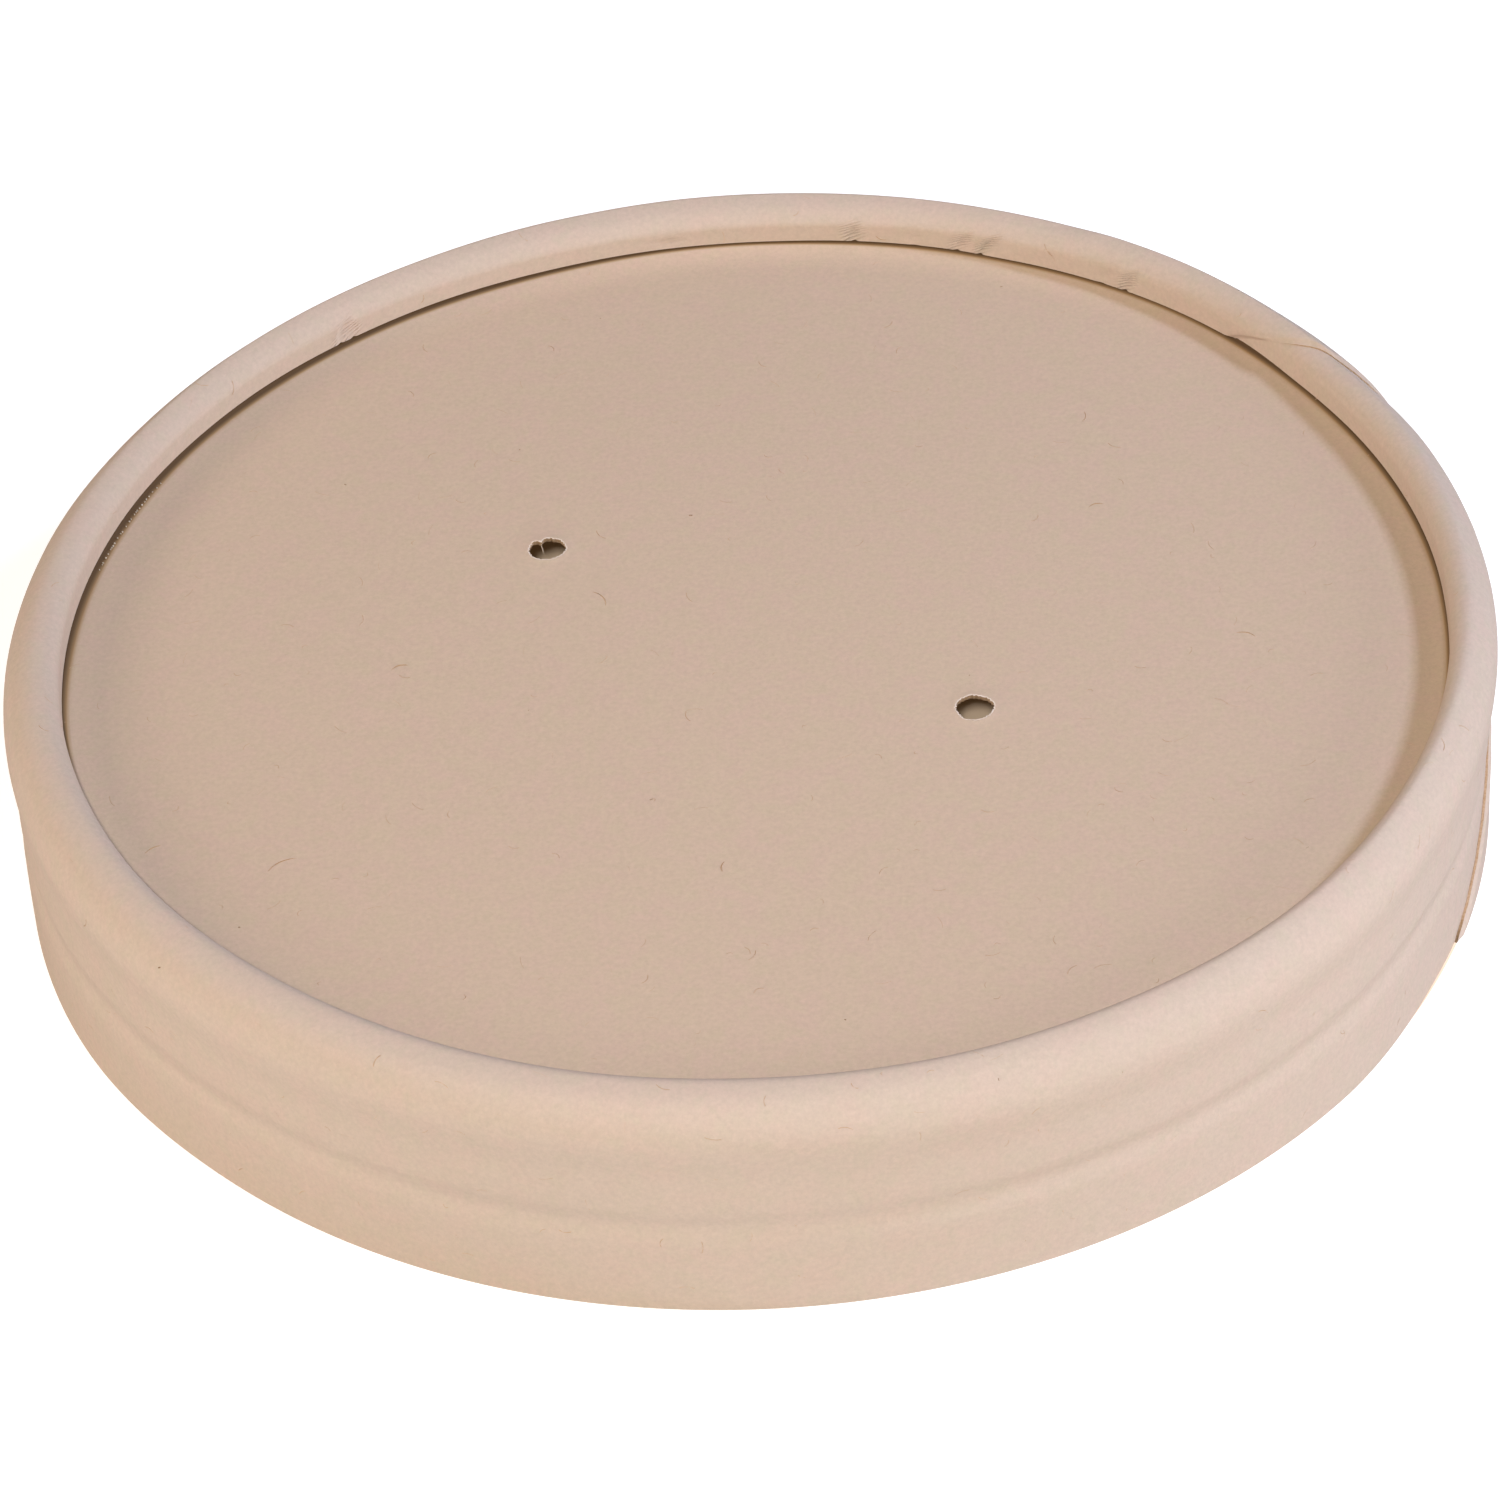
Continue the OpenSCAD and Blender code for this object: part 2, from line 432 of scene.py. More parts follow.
def strip_rows():
    """Lengths up the section, closer together at the groove and round the rim."""
    foot_to_groove = np.linspace(0, GROOVE_Z - GROOVE_H / 2, 5, endpoint=False)
    groove = np.linspace(GROOVE_Z - GROOVE_H / 2, GROOVE_Z + GROOVE_H / 2, 12, endpoint=False)
    to_shoulder = np.linspace(GROOVE_Z + GROOVE_H / 2, SHOULDER_Z, 8, endpoint=False)
    rim = np.linspace(SHOULDER_Z, SECTION_LEN, 28)
    return list(foot_to_groove) + list(groove) + list(to_shoulder) + list(rim)


def flat_strip():
    """The strip before it is rolled: along X the way round, along Y the way up, along Z its thickness."""
    rng = random.Random(5)
    columns, rows = strip_columns(), strip_rows()
    ragged = [rng.uniform(-0.08, 0.08) for _ in rows]
    count = len(columns) * len(rows)
    points = []
    for layer in (0, 1):
        for i, length in enumerate(rows):
            on_rim = smooth_step(length, SHOULDER_Z - 2 * MM, SHOULDER_Z + 3 * MM)
            thick = STRIP_T + (STRIP_T_RIM - STRIP_T) * on_rim
            for turn in columns:
                azimuth = seam_azimuth(length) + turn
                over = 1 - smooth_step(turn, LAP_TURN + 0.3, LAP_TURN + LAP_RAMP)
                under = smooth_step(turn, 360 - LAP_SINK, 360)
                stands = 1 - (1 - LAP_STANDS) * smooth_step(length, 4 * MM, SHOULDER_Z + 1 * MM)
                cut = smooth_step(length, SHOULDER_Z + 4 * MM, SECTION_LEN)
                up = length - cut * (edge_gap(azimuth) - EDGE_LOWEST)
                stand = (over * stands - under * (1 - stands)) * (thick + GLUE_T)
                pinch = (END_PINCH + 0.2 * on_rim) * (1 - layer) * (1 - smooth_step(turn, 0, PINCH_TURN))
                stand -= crease_depth(azimuth, length) + (layer + pinch) * thick
                if turn == 0:
                    azimuth += ragged[i] / 2
                points.append((math.radians(azimuth) * RIM_R, up, stand))
    width, height = len(columns), len(rows)
    faces, sides = [], []

    def at(layer, row, column):
        return layer * count + row * width + column

    for row in range(height - 1):
        for column in range(width - 1):
            a, b = at(0, row, column), at(0, row, column + 1)
            c, d = at(0, row + 1, column + 1), at(0, row + 1, column)
            faces += [(a, b, c, d), (a + count, d + count, c + count, b + count)]
            sides += [0, 1]
        for column in (0, width - 1):
            a, d = at(0, row, column), at(0, row + 1, column)
            quad = (a, d, d + count, a + count)
            faces.append(quad if column == 0 else quad[::-1])
            sides.append(2)
    for row in (0, height - 1):
        for column in range(width - 1):
            a, b = at(0, row, column), at(0, row, column + 1)
            quad = (b, a, a + count, b + count)
            faces.append(quad if row == 0 else quad[::-1])
            sides.append(2)
    return points, faces, sides


def sharp_between(mesh, sides):
    """Marks the edges where two kinds of face meet as sharp, and shades the rest smooth."""
    kinds = {}
    for polygon, side in zip(mesh.polygons, sides):
        for key in polygon.edge_keys:
            kinds.setdefault(key, set()).add(side)
    sharp = mesh.attributes.new("sharp_edge", "BOOLEAN", "EDGE")
    sharp.data.foreach_set("value", [len(kinds[e.key]) > 1 for e in mesh.edges])
    mesh.polygons.foreach_set("use_smooth", [True] * len(mesh.polygons))


def section_curve():
    """The band's section as a curve in the XZ plane, for the rolling tree to follow."""
    curve = bpy.data.curves.new("band_section", "CURVE")
    curve.dimensions = "3D"
    spline = curve.splines.new("POLY")
    spline.points.add(len(SECTION) - 1)
    for point, (r, z) in zip(spline.points, SECTION):
        point.co = (r, 0, z, 1)
    return new_object("band_section", curve)


def position(tree):
    """X, Y and Z of each point, as outputs."""
    spot = add(tree, "GeometryNodeInputPosition").outputs[0]
    return add(tree, "ShaderNodeSeparateXYZ", {0: spot}).outputs


def side_is(tree, number):
    """Output that picks the faces whose side has this number."""
    side = add(tree, "GeometryNodeInputNamedAttribute", {"Name": "side"}, data_type="INT")
    same = add(tree, "FunctionNodeCompare", {2: side.outputs["Attribute"], 3: number}, data_type="INT",
               operation="EQUAL")
    return same.outputs[0]


def rolling_tree():
    """Geometry Nodes tree that rolls a flat strip up a section and round a ring."""
    tree = bpy.data.node_groups.new("roll_strip_round_ring", "GeometryNodeTree")
    tree.interface.new_socket("Strip", in_out="INPUT", socket_type="NodeSocketGeometry")
    tree.interface.new_socket("Section", in_out="INPUT", socket_type="NodeSocketObject")
    for name in ("Ring radius", "Section length"):
        tree.interface.new_socket(name, in_out="INPUT", socket_type="NodeSocketFloat")
    for name in ("Outer face", "Inner face", "Cut edge"):
        tree.interface.new_socket(name, in_out="INPUT", socket_type="NodeSocketMaterial")
    tree.interface.new_socket("Band", in_out="OUTPUT", socket_type="NodeSocketGeometry")
    given = tree.nodes.new("NodeGroupInput").outputs
    flat = position(tree)
    turn = add(tree, "ShaderNodeMath", {0: flat["X"], 1: given["Ring radius"]}, operation="DIVIDE")
    climb = add(tree, "ShaderNodeMath", {0: flat["Y"], 1: given["Section length"]}, operation="DIVIDE")
    section = add(tree, "GeometryNodeObjectInfo", {"Object": given["Section"]})
    sample = add(tree, "GeometryNodeSampleCurve",
                 {"Curves": section.outputs["Geometry"], "Factor": climb.outputs[0]}, mode="FACTOR")
    outward = add(tree, "ShaderNodeVectorMath", {0: (0, 1, 0), 1: sample.outputs["Tangent"]},
                  operation="CROSS_PRODUCT")
    lift = add(tree, "ShaderNodeVectorMath", {0: outward.outputs[0], "Scale": flat["Z"]}, operation="SCALE")
    place = add(tree, "ShaderNodeVectorMath", {0: sample.outputs["Position"], 1: lift.outputs[0]})
    round_ring = add(tree, "ShaderNodeVectorRotate",
                     {"Vector": place.outputs[0], "Angle": turn.outputs[0]}, rotation_type="Z_AXIS")
    geometry = add(tree, "GeometryNodeSetPosition",
                   {"Geometry": given["Strip"], "Position": round_ring.outputs[0]}).outputs[0]
    for number, name in enumerate(("Outer face", "Inner face", "Cut edge")):
        geometry = add(tree, "GeometryNodeSetMaterial", {"Geometry": geometry, "Selection": side_is(tree, number),
                                                         "Material": given[name]}).outputs[0]
    whole = add(tree, "GeometryNodeRealizeInstances", {0: geometry})
    add(tree, "NodeGroupOutput", {0: whole.outputs[0]})
    return tree


def use_tree(piece, tree, values):
    """Puts a Geometry Nodes tree on a piece and sets its inputs by their identifiers."""
    modifier = piece.modifiers.new(tree.name, "NODES")
    modifier.node_group = tree
    ids = {s.name: s.identifier for s in tree.interface.items_tree if s.in_out == "INPUT"}
    for name, value in values.items():
        modifier[ids[name]] = value


def side_band():
    points, faces, sides = flat_strip()
    mesh = bpy.data.meshes.new("flat_strip")
    mesh.from_pydata(points, [], faces)
    mesh.attributes.new("side", "INT", "FACE").data.foreach_set("value", sides)
    sharp_between(mesh, sides)
    strip = new_object("flat_strip", mesh)
    section = section_curve()
    use_tree(strip, rolling_tree(), {"Section": section, "Ring radius": RIM_R, "Section length": SECTION_LEN,
                                     "Outer face": BAND_FACE, "Inner face": FILM_FACE, "Cut edge": CUT_EDGE})
    band = baked(strip, "rolled_side_band")
    bpy.data.objects.remove(section)
    settle_band(band.data)
    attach(band, "root")
    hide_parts("side_band")
    return band


# Top disc

def vent_outline(centre, seed, bites, squash, turn):
    """Ragged outline of a punched vent. bites are (angle in degrees, depth in mm, width in degrees)."""
    rng = random.Random(seed)
    waves = [(k, rng.uniform(0, 2 * math.pi), 0.06 / math.sqrt(k)) for k in (3, 5, 8, 13)]
    teeth = [(k, rng.uniform(0, 2 * math.pi), 0.03) for k in (23, 31)]
    outline = []
    for step in range(VENT_STEPS):
        angle = 2 * math.pi * step / VENT_STEPS
        r = VENT_R * 0.96
        r += sum(MM * size * math.sin(k * angle + phase) for k, phase, size in waves + teeth)
        for at, deep, wide in bites:
            off = (math.degrees(angle) - at + 180) % 360 - 180
            r -= deep * MM * math.exp(-(off / wide) ** 2)
        spot = Vector((math.cos(angle), math.sin(angle) * squash)) * min(r, VENT_R)
        spot.rotate(Matrix.Rotation(math.radians(turn), 2))
        outline.append(centre + spot)
    return outline


def inside(point, outline):
    """True if a point lies inside a closed outline."""
    found = False
    for a, b in zip(outline, outline[1:] + outline[:1]):
        if (a.y > point.y) != (b.y > point.y):
            if point.x < (b.x - a.x) * (point.y - a.y) / (b.y - a.y) + a.x:
                found = not found
    return found


def disc_wave(x, y):
    """Slight unevenness of the disc's face."""
    u, v = x / MM, y / MM
    return MM * (0.03 * math.sin(u / 17 + 1) * math.cos(v / 23) + 0.02 * math.sin((u + v) / 13))


def ring_of(radius, count):
    return [Vector((math.cos(2 * math.pi * i / count), math.sin(2 * math.pi * i / count))) * radius
            for i in range(count)]


def disc_plate(vents, count):
    """Flat part of the disc inside its margin: points in the plane and triangles, vents left open."""
    points = ring_of(MARGIN_R, count)
    edges = [(i, (i + 1) % count) for i in range(count)]
    for vent in vents:
        start = len(points)
        points += vent
        edges += [(start + i, start + (i + 1) % len(vent)) for i in range(len(vent))]
    for centre, vent in zip((VENT_LEFT, VENT_RIGHT), vents):
        for away in (LIP_W * 0.35, LIP_W, LIP_W * 2):
            points += [spot + (spot - centre).normalized() * away for spot in vent[::2]]
    rng = random.Random(11)
    step = 1.6 * MM
    reach = int(MARGIN_R / step) + 1
    for i in range(-reach, reach + 1):
        for j in range(-reach, reach + 1):
            spot = Vector((i + rng.uniform(-0.2, 0.2), j + rng.uniform(-0.2, 0.2))) * step
            clear = all((spot - c).length > VENT_R + LIP_W * 2 + step / 3 for c in (VENT_LEFT, VENT_RIGHT))
            if spot.length < MARGIN_R - step / 2 and clear:
                points.append(spot)
    verts, _, faces, *_ = delaunay_2d_cdt(points, edges, [], 0, 1e-7)
    kept = []
    for face in faces:
        middle = sum((verts[i] for i in face), Vector((0, 0))) / 3
        if not any(inside(middle, vent) for vent in vents):
            kept.append(face)
    return verts, kept, edges


def lip_distance(spot, vents):
    """Distance from a point of the disc to the nearest vent's edge."""
    near = [vent for vent, c in zip(vents, (VENT_LEFT, VENT_RIGHT)) if (spot - c).length < VENT_R + 4 * LIP_W]
    return min(((spot - p).length for vent in near for p in vent), default=1)


def lip_height(distance):
    """Height of the lip that the punch raised round a vent, at a distance from its edge."""
    return LIP_RISE * (smooth_step(distance, -LIP_W, LIP_W / 2) - smooth_step(distance, LIP_W / 3, LIP_W * 2))


def margin_section(azimuth):
    """The disc's margin at an azimuth as (r, z): up its face to the flange's top, then down its back."""
    reach = RIM_IN_R - MARGIN_R
    rise = around(MARGIN_RISE, azimuth)
    line = [(r, rise * ((r - MARGIN_R) / reach) ** 2, math.atan(2 * rise * (r - MARGIN_R) / reach ** 2))
            for r in np.linspace(MARGIN_R, FOLD_R, 13)[1:]]
    r, z, slope = line[-1]
    bend = (FLANGE_OUT_R - BOARD_T - r) / (1 - math.sin(slope))
    for angle in np.linspace(slope, math.pi / 2, 14)[1:]:
        line.append((r + bend * (math.sin(angle) - math.sin(slope)),
                     z + bend * (math.cos(slope) - math.cos(angle)), angle))
    face = [(r, DISC_Z + z) for r, z, _ in line] + [(FLANGE_OUT_R - BOARD_T, FLANGE_TOP)]
    back = [(r + DISC_T * math.sin(a), DISC_Z + z - DISC_T * math.cos(a)) for r, z, a in line]
    return face + [(FLANGE_OUT_R - BOARD_T + DISC_T, FLANGE_TOP)] + back[::-1], len(face)


def top_disc():
    count = 480
    vents = [vent_outline(VENT_LEFT, 3, [(110, 0.42, 11), (262, 0.12, 12)], 0.95, 4),
             vent_outline(VENT_RIGHT, 8, [(214, 0.05, 14), (318, 0.06, 12)], 1.0, 0)]
    plate, triangles, rims = disc_plate(vents, count)
    total = len(plate)
    heights = [DISC_Z + disc_wave(p.x, p.y) * (1 - smooth_step(p.length, MARGIN_R / 2, MARGIN_R))
               for p in plate]
    lips = [lip_distance(p, vents) for p in plate]
    points = [(p.x, p.y, z + lip_height(d)) for p, z, d in zip(plate, heights, lips)]
    under = [p.copy() for p in plate]
    for centre, start in zip((VENT_LEFT, VENT_RIGHT), (count, count + VENT_STEPS)):
        for i in range(start, start + VENT_STEPS):
            under[i] += (plate[i] - centre).normalized() * VENT_FLARE
    points += [(p.x, p.y, z - DISC_T) for p, z in zip(under, heights)]
    faces = [tuple(t) for t in triangles] + [tuple(i + total for i in reversed(t)) for t in triangles]
    # Faces close to a vent's edge take the pale lip, a painted highlight over torn fibre
    sides = [3 if max(lips[i] for i in t) < LIP_W * 0.6 else 0 for t in triangles] + [1] * len(triangles)
    for a, b in rims[count:]:
        faces.append((a, b, b + total, a + total))
        sides.append(2)
    sections = [margin_section(360 * i / count) for i in range(count)]
    length, face_length = len(sections[0][0]), sections[0][1]
    kinds = [0] * face_length + [2] + [1] * (length - face_length - 1)
    ring = list(range(count))
    # Painted shade: how far each point of the margin is painted dark for the shaded gap under the rim's free edge
    gap_shade_values = [0] * len(points)
    for row, kind in enumerate(kinds):
        start = len(points)
        for i, (section, _) in enumerate(sections):
            r, z = section[row]
            angle = 2 * math.pi * i / count
            points.append((r * math.cos(angle), r * math.sin(angle), z))
            gap_shade_values.append(smooth_step(r, around(GAP_SHADE_START, 360 * i / count), GAP_SHADE_FULL_R))
        new_ring = list(range(start, start + count))
        faces += [(ring[i], new_ring[i], new_ring[(i + 1) % count], ring[(i + 1) % count])
                  for i in range(count)]
        sides += [kind] * count
        ring = new_ring
    faces += [(ring[i], i + total, (i + 1) % count + total, ring[(i + 1) % count]) for i in range(count)]
    sides += [1] * count
    mesh = bpy.data.meshes.new("folded_top_disc")
    mesh.from_pydata(points, [], faces)
    mesh.attributes.new("side", "INT", "FACE").data.foreach_set("value", sides)
    mesh.attributes.new("painted_gap_shade", "FLOAT", "POINT").data.foreach_set("value", gap_shade_values)
    for material in (DISC_FACE, FILM_FACE, CUT_EDGE, TORN_LIP_PAINTED_HIGHLIGHT):
        mesh.materials.append(material)
    mesh.polygons.foreach_set("material_index", sides)
    sharp_between(mesh, [0 if side == 3 else side for side in sides])
    settle_disc(mesh)
    disc = new_object("folded_top_disc", mesh)
    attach(disc, "root")
    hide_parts("top_disc")
    return disc


# Fibres, specks and seal

def strand(path, width, material, name):
    """A thin closed strand along a list of points, tapered at both ends."""
    sides = 5
    path = [Vector(p) for p in path]
    points, faces = [path[0]], []
    for i in range(1, len(path) - 1):
        along = (path[i + 1] - path[i - 1]).normalized()
        across = along.orthogonal().normalized()
        radius = width / 2 * math.sin(math.pi * i / (len(path) - 1)) ** 0.5
        for k in range(sides):
            turn = Matrix.Rotation(2 * math.pi * k / sides, 3, along)
            points.append(path[i] + turn @ across * radius)
    points.append(path[-1])
    rings = len(path) - 2
    last = len(points) - 1
    for k in range(sides):
        after = (k + 1) % sides
        faces.append((0, 1 + after, 1 + k))
        for i in range(rings - 1):
            a, b = 1 + i * sides, 1 + (i + 1) * sides
            faces.append((a + k, a + after, b + after, b + k))
        end = 1 + (rings - 1) * sides
        faces.append((end + k, end + after, last))
    mesh = bpy.data.meshes.new(name)
    mesh.from_pydata(points, [], faces)
    mesh.materials.append(material)
    mesh.polygons.foreach_set("use_smooth", [True] * len(mesh.polygons))
    return new_object(name, mesh)


def joined(pieces, name):
    """Several mesh objects as one piece that rides on the lid."""
    with bpy.context.temp_override(active_object=pieces[0], selected_editable_objects=pieces):
        bpy.ops.object.join()
    pieces[0].name = pieces[0].data.name = name
    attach(pieces[0], "root")
    return pieces[0]


def scatter_tree():
    """Geometry Nodes tree that strews short curved fibres over the faces whose side is 0."""
    tree = bpy.data.node_groups.new("strew_fibres", "GeometryNodeTree")
    tree.interface.new_socket("Board", in_out="INPUT", socket_type="NodeSocketGeometry")
    for name in ("Fibres per square metre", "Length", "Width", "Bend", "Lowest"):
        tree.interface.new_socket(name, in_out="INPUT", socket_type="NodeSocketFloat")
    tree.interface.new_socket("Seed", in_out="INPUT", socket_type="NodeSocketInt")
    tree.interface.new_socket("Material", in_out="INPUT", socket_type="NodeSocketMaterial")
    tree.interface.new_socket("Fibres", in_out="OUTPUT", socket_type="NodeSocketGeometry")
    given = tree.nodes.new("NodeGroupInput").outputs
    high = add(tree, "FunctionNodeCompare", {0: position(tree)["Z"], 1: given["Lowest"]},
               operation="GREATER_THAN")
    chosen = add(tree, "FunctionNodeBooleanMath", {0: side_is(tree, 0), 1: high.outputs[0]},
                 operation="AND").outputs[0]
    spots = add(tree, "GeometryNodeDistributePointsOnFaces",
                {"Mesh": given["Board"], "Selection": chosen, "Density": given["Fibres per square metre"],
                 "Seed": given["Seed"]})
    half = add(tree, "ShaderNodeMath", {0: given["Length"], 1: 0.5}, operation="MULTIPLY").outputs[0]
    back = add(tree, "ShaderNodeMath", {0: half, 1: -1}, operation="MULTIPLY").outputs[0]
    ends = [add(tree, "ShaderNodeCombineXYZ", {"X": x}).outputs[0] for x in (back, half)]
    middle = add(tree, "ShaderNodeCombineXYZ", {"Y": given["Bend"]}).outputs[0]
    curve = add(tree, "GeometryNodeCurveQuadraticBezier",
                {"Resolution": 6, "Start": ends[0], "Middle": middle, "End": ends[1]})
    radius = add(tree, "ShaderNodeMath", {0: given["Width"], 1: 0.5}, operation="MULTIPLY").outputs[0]
    round_wire = add(tree, "GeometryNodeCurvePrimitiveCircle", {"Resolution": 4, "Radius": radius})
    fibre = add(tree, "GeometryNodeCurveToMesh", {"Curve": curve.outputs[0],
                                                  "Profile Curve": round_wire.outputs[0], "Fill Caps": True})
    spin = add(tree, "FunctionNodeRandomValue", {"Max": 2 * math.pi, "Seed": given["Seed"]},
               data_type="FLOAT")
    turned = add(tree, "FunctionNodeAxisAngleToRotation", {"Axis": (0, 0, 1), "Angle": spin.outputs["Value"]})
    facing = add(tree, "FunctionNodeRotateRotation", {"Rotation": spots.outputs["Rotation"],
                                                      "Rotate By": turned.outputs[0]}, rotation_space="LOCAL")
    size = add(tree, "FunctionNodeRandomValue", {0: (0.35, 0.2, 0.2), 1: (1.5, 1.6, 0.35)},
               data_type="FLOAT_VECTOR")
    strewn = add(tree, "GeometryNodeInstanceOnPoints",
                 {"Points": spots.outputs["Points"], "Instance": fibre.outputs[0],
                  "Rotation": facing.outputs[0], "Scale": size.outputs[0]})
    whole = add(tree, "GeometryNodeRealizeInstances", {0: strewn.outputs[0]})
    dressed = add(tree, "GeometryNodeSetMaterial",
                  {"Geometry": whole.outputs[0], "Material": given["Material"]})
    add(tree, "NodeGroupOutput", {0: dressed.outputs[0]})
    return tree


def strewn(board, tree, name, per_cm2, length, width, bend, seed, material):
    """Fibres or specks strewn over a board's outer face, as a piece of their own."""
    carrier = new_object(name, board.data.copy())
    use_tree(carrier, tree, {"Fibres per square metre": per_cm2 * 1e4, "Length": length * MM,
                             "Width": width * MM, "Bend": bend * MM, "Lowest": 1.5 * MM, "Seed": seed,
                             "Material": material})
    piece = baked(carrier, name)
    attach(piece, "root")
    return piece


def curved(x, y, z, azimuth, length, bend):
    """Points of a shallow arc that lies flat on the disc, sizes in mm."""
    turn = Matrix.Rotation(math.radians(azimuth), 2)
    path = []
    for t in np.linspace(-1, 1, 9):
        spot = turn @ Vector((length / 2 * t, bend * (1 - t * t)))
        path.append(((x + spot.x) * MM, (y + spot.y) * MM, z))
    return path


def stray_fibres():
    """The few single fibres that show on the disc: place, direction, length and bend in mm."""
    placed = [(-11.5, 7.0, -62, 2.2, 0.4), (-35.7, -22.4, 32, 2.6, 0.4), (-45.4, -19.6, 35, 1.5, 0.2),
              (-27.0, 0.1, 20, 1.4, 0.3), (2.5, 21, -40, 1.5, 0.25), (28.0, 14.5, 15, 1.3, 0.3),
              (-3.0, -26.0, 80, 1.2, 0.2), (38.0, -3.0, -25, 1.6, 0.3)]
    z = DISC_Z + 0.01 * MM
    pieces = [strand(curved(x, y, z, turn, length, bend), 0.07 * MM, STRAY_FIBRE, "stray_fibre")
              for x, y, turn, length, bend in placed]
    return joined(pieces, "stray_fibres")


def vent_strands():
    """Torn fibres at the vents: one that crosses the left vent, and a fringe on the right one's far side."""
    z = DISC_Z
    start = VENT_LEFT + Vector((-0.45, 0.72)) * MM
    bridge = [(start.x + 0.22 * MM * t * t, start.y - 0.95 * MM * t, z + (0.05 - 0.45 * t * t) * MM)
              for t in np.linspace(0, 1, 8)]
    pieces = [strand(bridge, 0.06 * MM, PALE_FIBRE, "vent_strand")]
    rng = random.Random(21)
    for step in range(12):
        angle = math.radians(50 + 8 * step + rng.uniform(-3, 3))
        edge = VENT_RIGHT + Vector((math.cos(angle), math.sin(angle))) * VENT_R * 0.97
        inward = (VENT_RIGHT - edge).normalized() * rng.uniform(0.05, 0.14) * MM
        drop = rng.uniform(0.05, 0.2) * MM
        path = [(edge.x + inward.x * t, edge.y + inward.y * t, z + 0.03 * MM - drop * t * t)
                for t in np.linspace(-0.3, 1, 6)]
        pieces.append(strand(path, 0.05 * MM, CUT_EDGE, "vent_strand"))
    return joined(pieces, "vent_strands")


def squeezed_seal():
    """Beads of film that were squeezed out of the seal, in the gap at the left and behind it. Their pale colour
    is a painted glint on top of the film's own gloss.
    """
    rng = random.Random(4)
    pieces = []
    azimuth = 151
    while azimuth < 164:
        span = rng.uniform(0.06, 0.22)
        path = []
        for t in np.linspace(0, 1, 6):
            turn = math.radians(azimuth + span * t)
            bump = rng.uniform(-0.03, 0.03) * MM
            out = FOLD_R + 0.15 * MM + around(INNER_SHIFT, azimuth) + bump
            path.append((out * math.cos(turn), out * math.sin(turn), DISC_Z + 0.28 * MM + bump))
        pieces.append(strand(path, rng.uniform(0.1, 0.17) * MM, SEAL_FILM_PAINTED_GLINT, "seal_bead"))
        azimuth += span + rng.uniform(0.1, 0.7)
    return joined(pieces, "squeezed_seal_beads")


def small_marks(band, disc):
    """Fibres and specks as number per square cm, length, width and bend in mm, and seed, then single marks."""
    tree = scatter_tree()
    strewn(disc, tree, "disc_fibres", 3.5, 0.9, 0.045, 0.25, 1, FIBRE)
    strewn(disc, tree, "disc_specks", 0.12, 0.2, 0.1, 0.02, 2, SPECK)
    strewn(band, tree, "band_fibres", 3.5, 0.8, 0.045, 0.2, 3, FIBRE)
    strewn(band, tree, "band_specks", 0.08, 0.2, 0.1, 0.02, 4, SPECK)
    stray_fibres()
    vent_strands()
    squeezed_seal()


# Floor, lights and camera

def floor():
    """White paper, tan under the lid, where a faint glow stands in for light that the board lets through."""
    mesh = bpy.data.meshes.new("floor")
    half = 3
    corners = [(-half, -half, 0), (half, -half, 0), (half, half, 0), (-half, half, 0)]
    mesh.from_pydata(corners, [], [(0, 1, 2, 3)])
    material = bpy.data.materials.new("white_paper_sweep")
    material.use_nodes = True
    tree = material.node_tree
    tree.nodes.clear()
    seen = add(tree, "ShaderNodeLightPath").outputs
    place = add(tree, "ShaderNodeTexCoord").outputs["Object"]
    away = add(tree, "ShaderNodeVectorMath", {0: place}, operation="LENGTH").outputs["Value"]
    outside = add(tree, "ShaderNodeMath", {0: away, 1: SKIRT_R - STRIP_T},
                  operation="GREATER_THAN").outputs[0]
    paper = mixed(tree, outside, linear("#FFE6CC"), linear("#E6E6E6"))
    matte = add(tree, "ShaderNodeBsdfDiffuse", {"Color": paper})
    light = mixed(tree, outside, linear("#3A2817"), linear("#BCBCBC"))
    glow = add(tree, "ShaderNodeEmission", {"Color": light})
    both = add(tree, "ShaderNodeAddShader", {0: matte.outputs[0], 1: glow.outputs[0]})
    white = add(tree, "ShaderNodeMixShader", {0: seen["Is Camera Ray"], 1: matte.outputs[0],
                                              2: both.outputs[0]})
    add(tree, "ShaderNodeOutputMaterial", {"Surface": white.outputs[0]})
    mesh.materials.append(material)
    ground = new_object("floor", mesh)


def lamp(name, azimuth, elevation, strength, size, colour, distance=0.6):
    """A square soft lamp that looks at the lid: azimuth from +X in degrees, size and distance in metres."""
    a, e = math.radians(azimuth), math.radians(elevation)
    back = Vector((math.cos(a) * math.cos(e), math.sin(a) * math.cos(e), math.sin(e)))
    data = bpy.data.lights.new(name, "AREA")
    data.size = size
    data.energy = strength * math.pi * (distance ** 2) * 4
    data.color = linear(colour)[:3]
    light = bpy.data.objects.new(name, data)
    bpy.context.scene.collection.objects.link(light)
    light.location = back * distance + Vector((0, 0, DISC_Z))
    light.rotation_euler = back.to_track_quat("Z", "Y").to_euler()


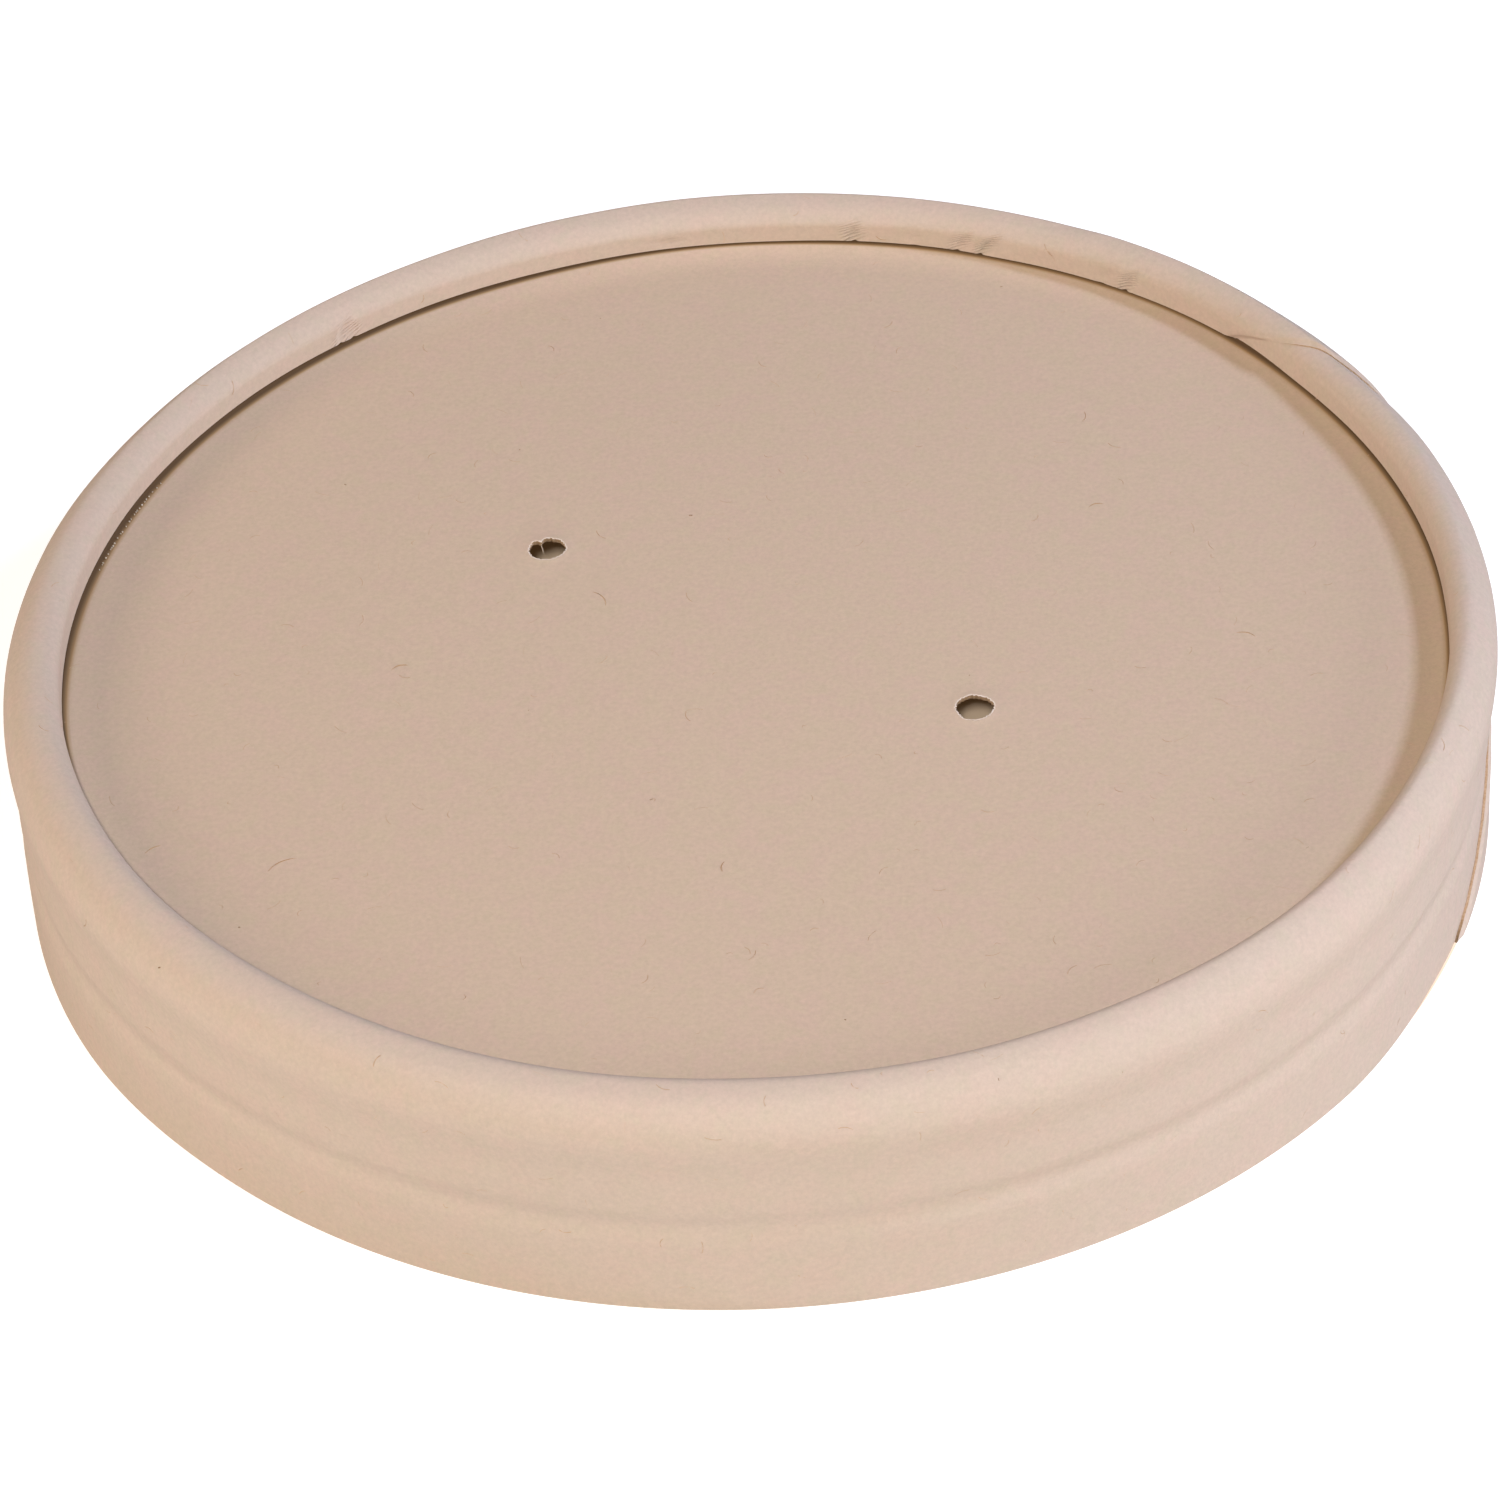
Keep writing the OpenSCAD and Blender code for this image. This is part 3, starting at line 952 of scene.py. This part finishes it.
def world(strength, colour):
    """Soft light from all round, and plain white where the camera looks past the floor."""
    surroundings = bpy.data.worlds.new("white_room")
    surroundings.use_nodes = True
    tree = surroundings.node_tree
    tree.nodes.clear()
    seen = add(tree, "ShaderNodeLightPath").outputs["Is Camera Ray"]
    soft = add(tree, "ShaderNodeBackground", {"Color": linear(colour), "Strength": strength})
    white = add(tree, "ShaderNodeBackground", {"Color": (1, 1, 1, 1), "Strength": 1})
    both = add(tree, "ShaderNodeMixShader", {0: seen, 1: soft.outputs[0], 2: white.outputs[0]})
    add(tree, "ShaderNodeOutputWorld", {"Surface": both.outputs[0]})
    bpy.context.scene.world = surroundings


def camera():
    """A long lens at the photo's angle: nearly 40 degrees above the lid, the right side a little raised."""
    elevation, roll = math.radians(39.93), math.radians(4.0)
    data = bpy.data.cameras.new("camera")
    data.sensor_width = 36
    data.lens = 145.7
    eye = bpy.data.objects.new("camera", data)
    bpy.context.scene.collection.objects.link(eye)
    bpy.context.scene.camera = eye
    aside = Vector((0.15, 0, 0)) * MM
    distance = RIM_R * 8.3
    place = Vector((0, -math.cos(elevation), math.sin(elevation))) * distance + aside
    target = Vector((-0.69, 2.28, 2.72)) * MM + aside
    back = (place - target).normalized()
    level_right = Vector((0, 0, 1)).cross(back).normalized()
    level_up = back.cross(level_right)
    right = level_right * math.cos(roll) - level_up * math.sin(roll)
    up = level_right * math.sin(roll) + level_up * math.cos(roll)
    turn = Matrix((right, up, back)).transposed().to_4x4()
    eye.matrix_world = Matrix.Translation(place) @ turn
    data.clip_start = 0.01
    data.clip_end = 20


camera()
small_marks(side_band(), top_disc())
floor()
world(0.1, "#FFFCF3")
lamp("key_window", -91.5, 40.3, 0.39, 0.022, "#FFFBF2")
lamp("right_window", -2, 46, 0.45, 0.09, "#CADAFF")
lamp("low_front_right", -30, 14, 0.3, 0.25, "#FFFCF6")
lamp("low_front_left", -150, 14, 0.22, 0.25, "#FFFBF2")
lamp("left_window", 180, 32, 0.22, 0.25, "#FFE3CC")
lamp("high_back", 90, 32, 0.05, 0.3, "#FFF6E8")

bpy.context.scene.view_settings.view_transform = "Standard"
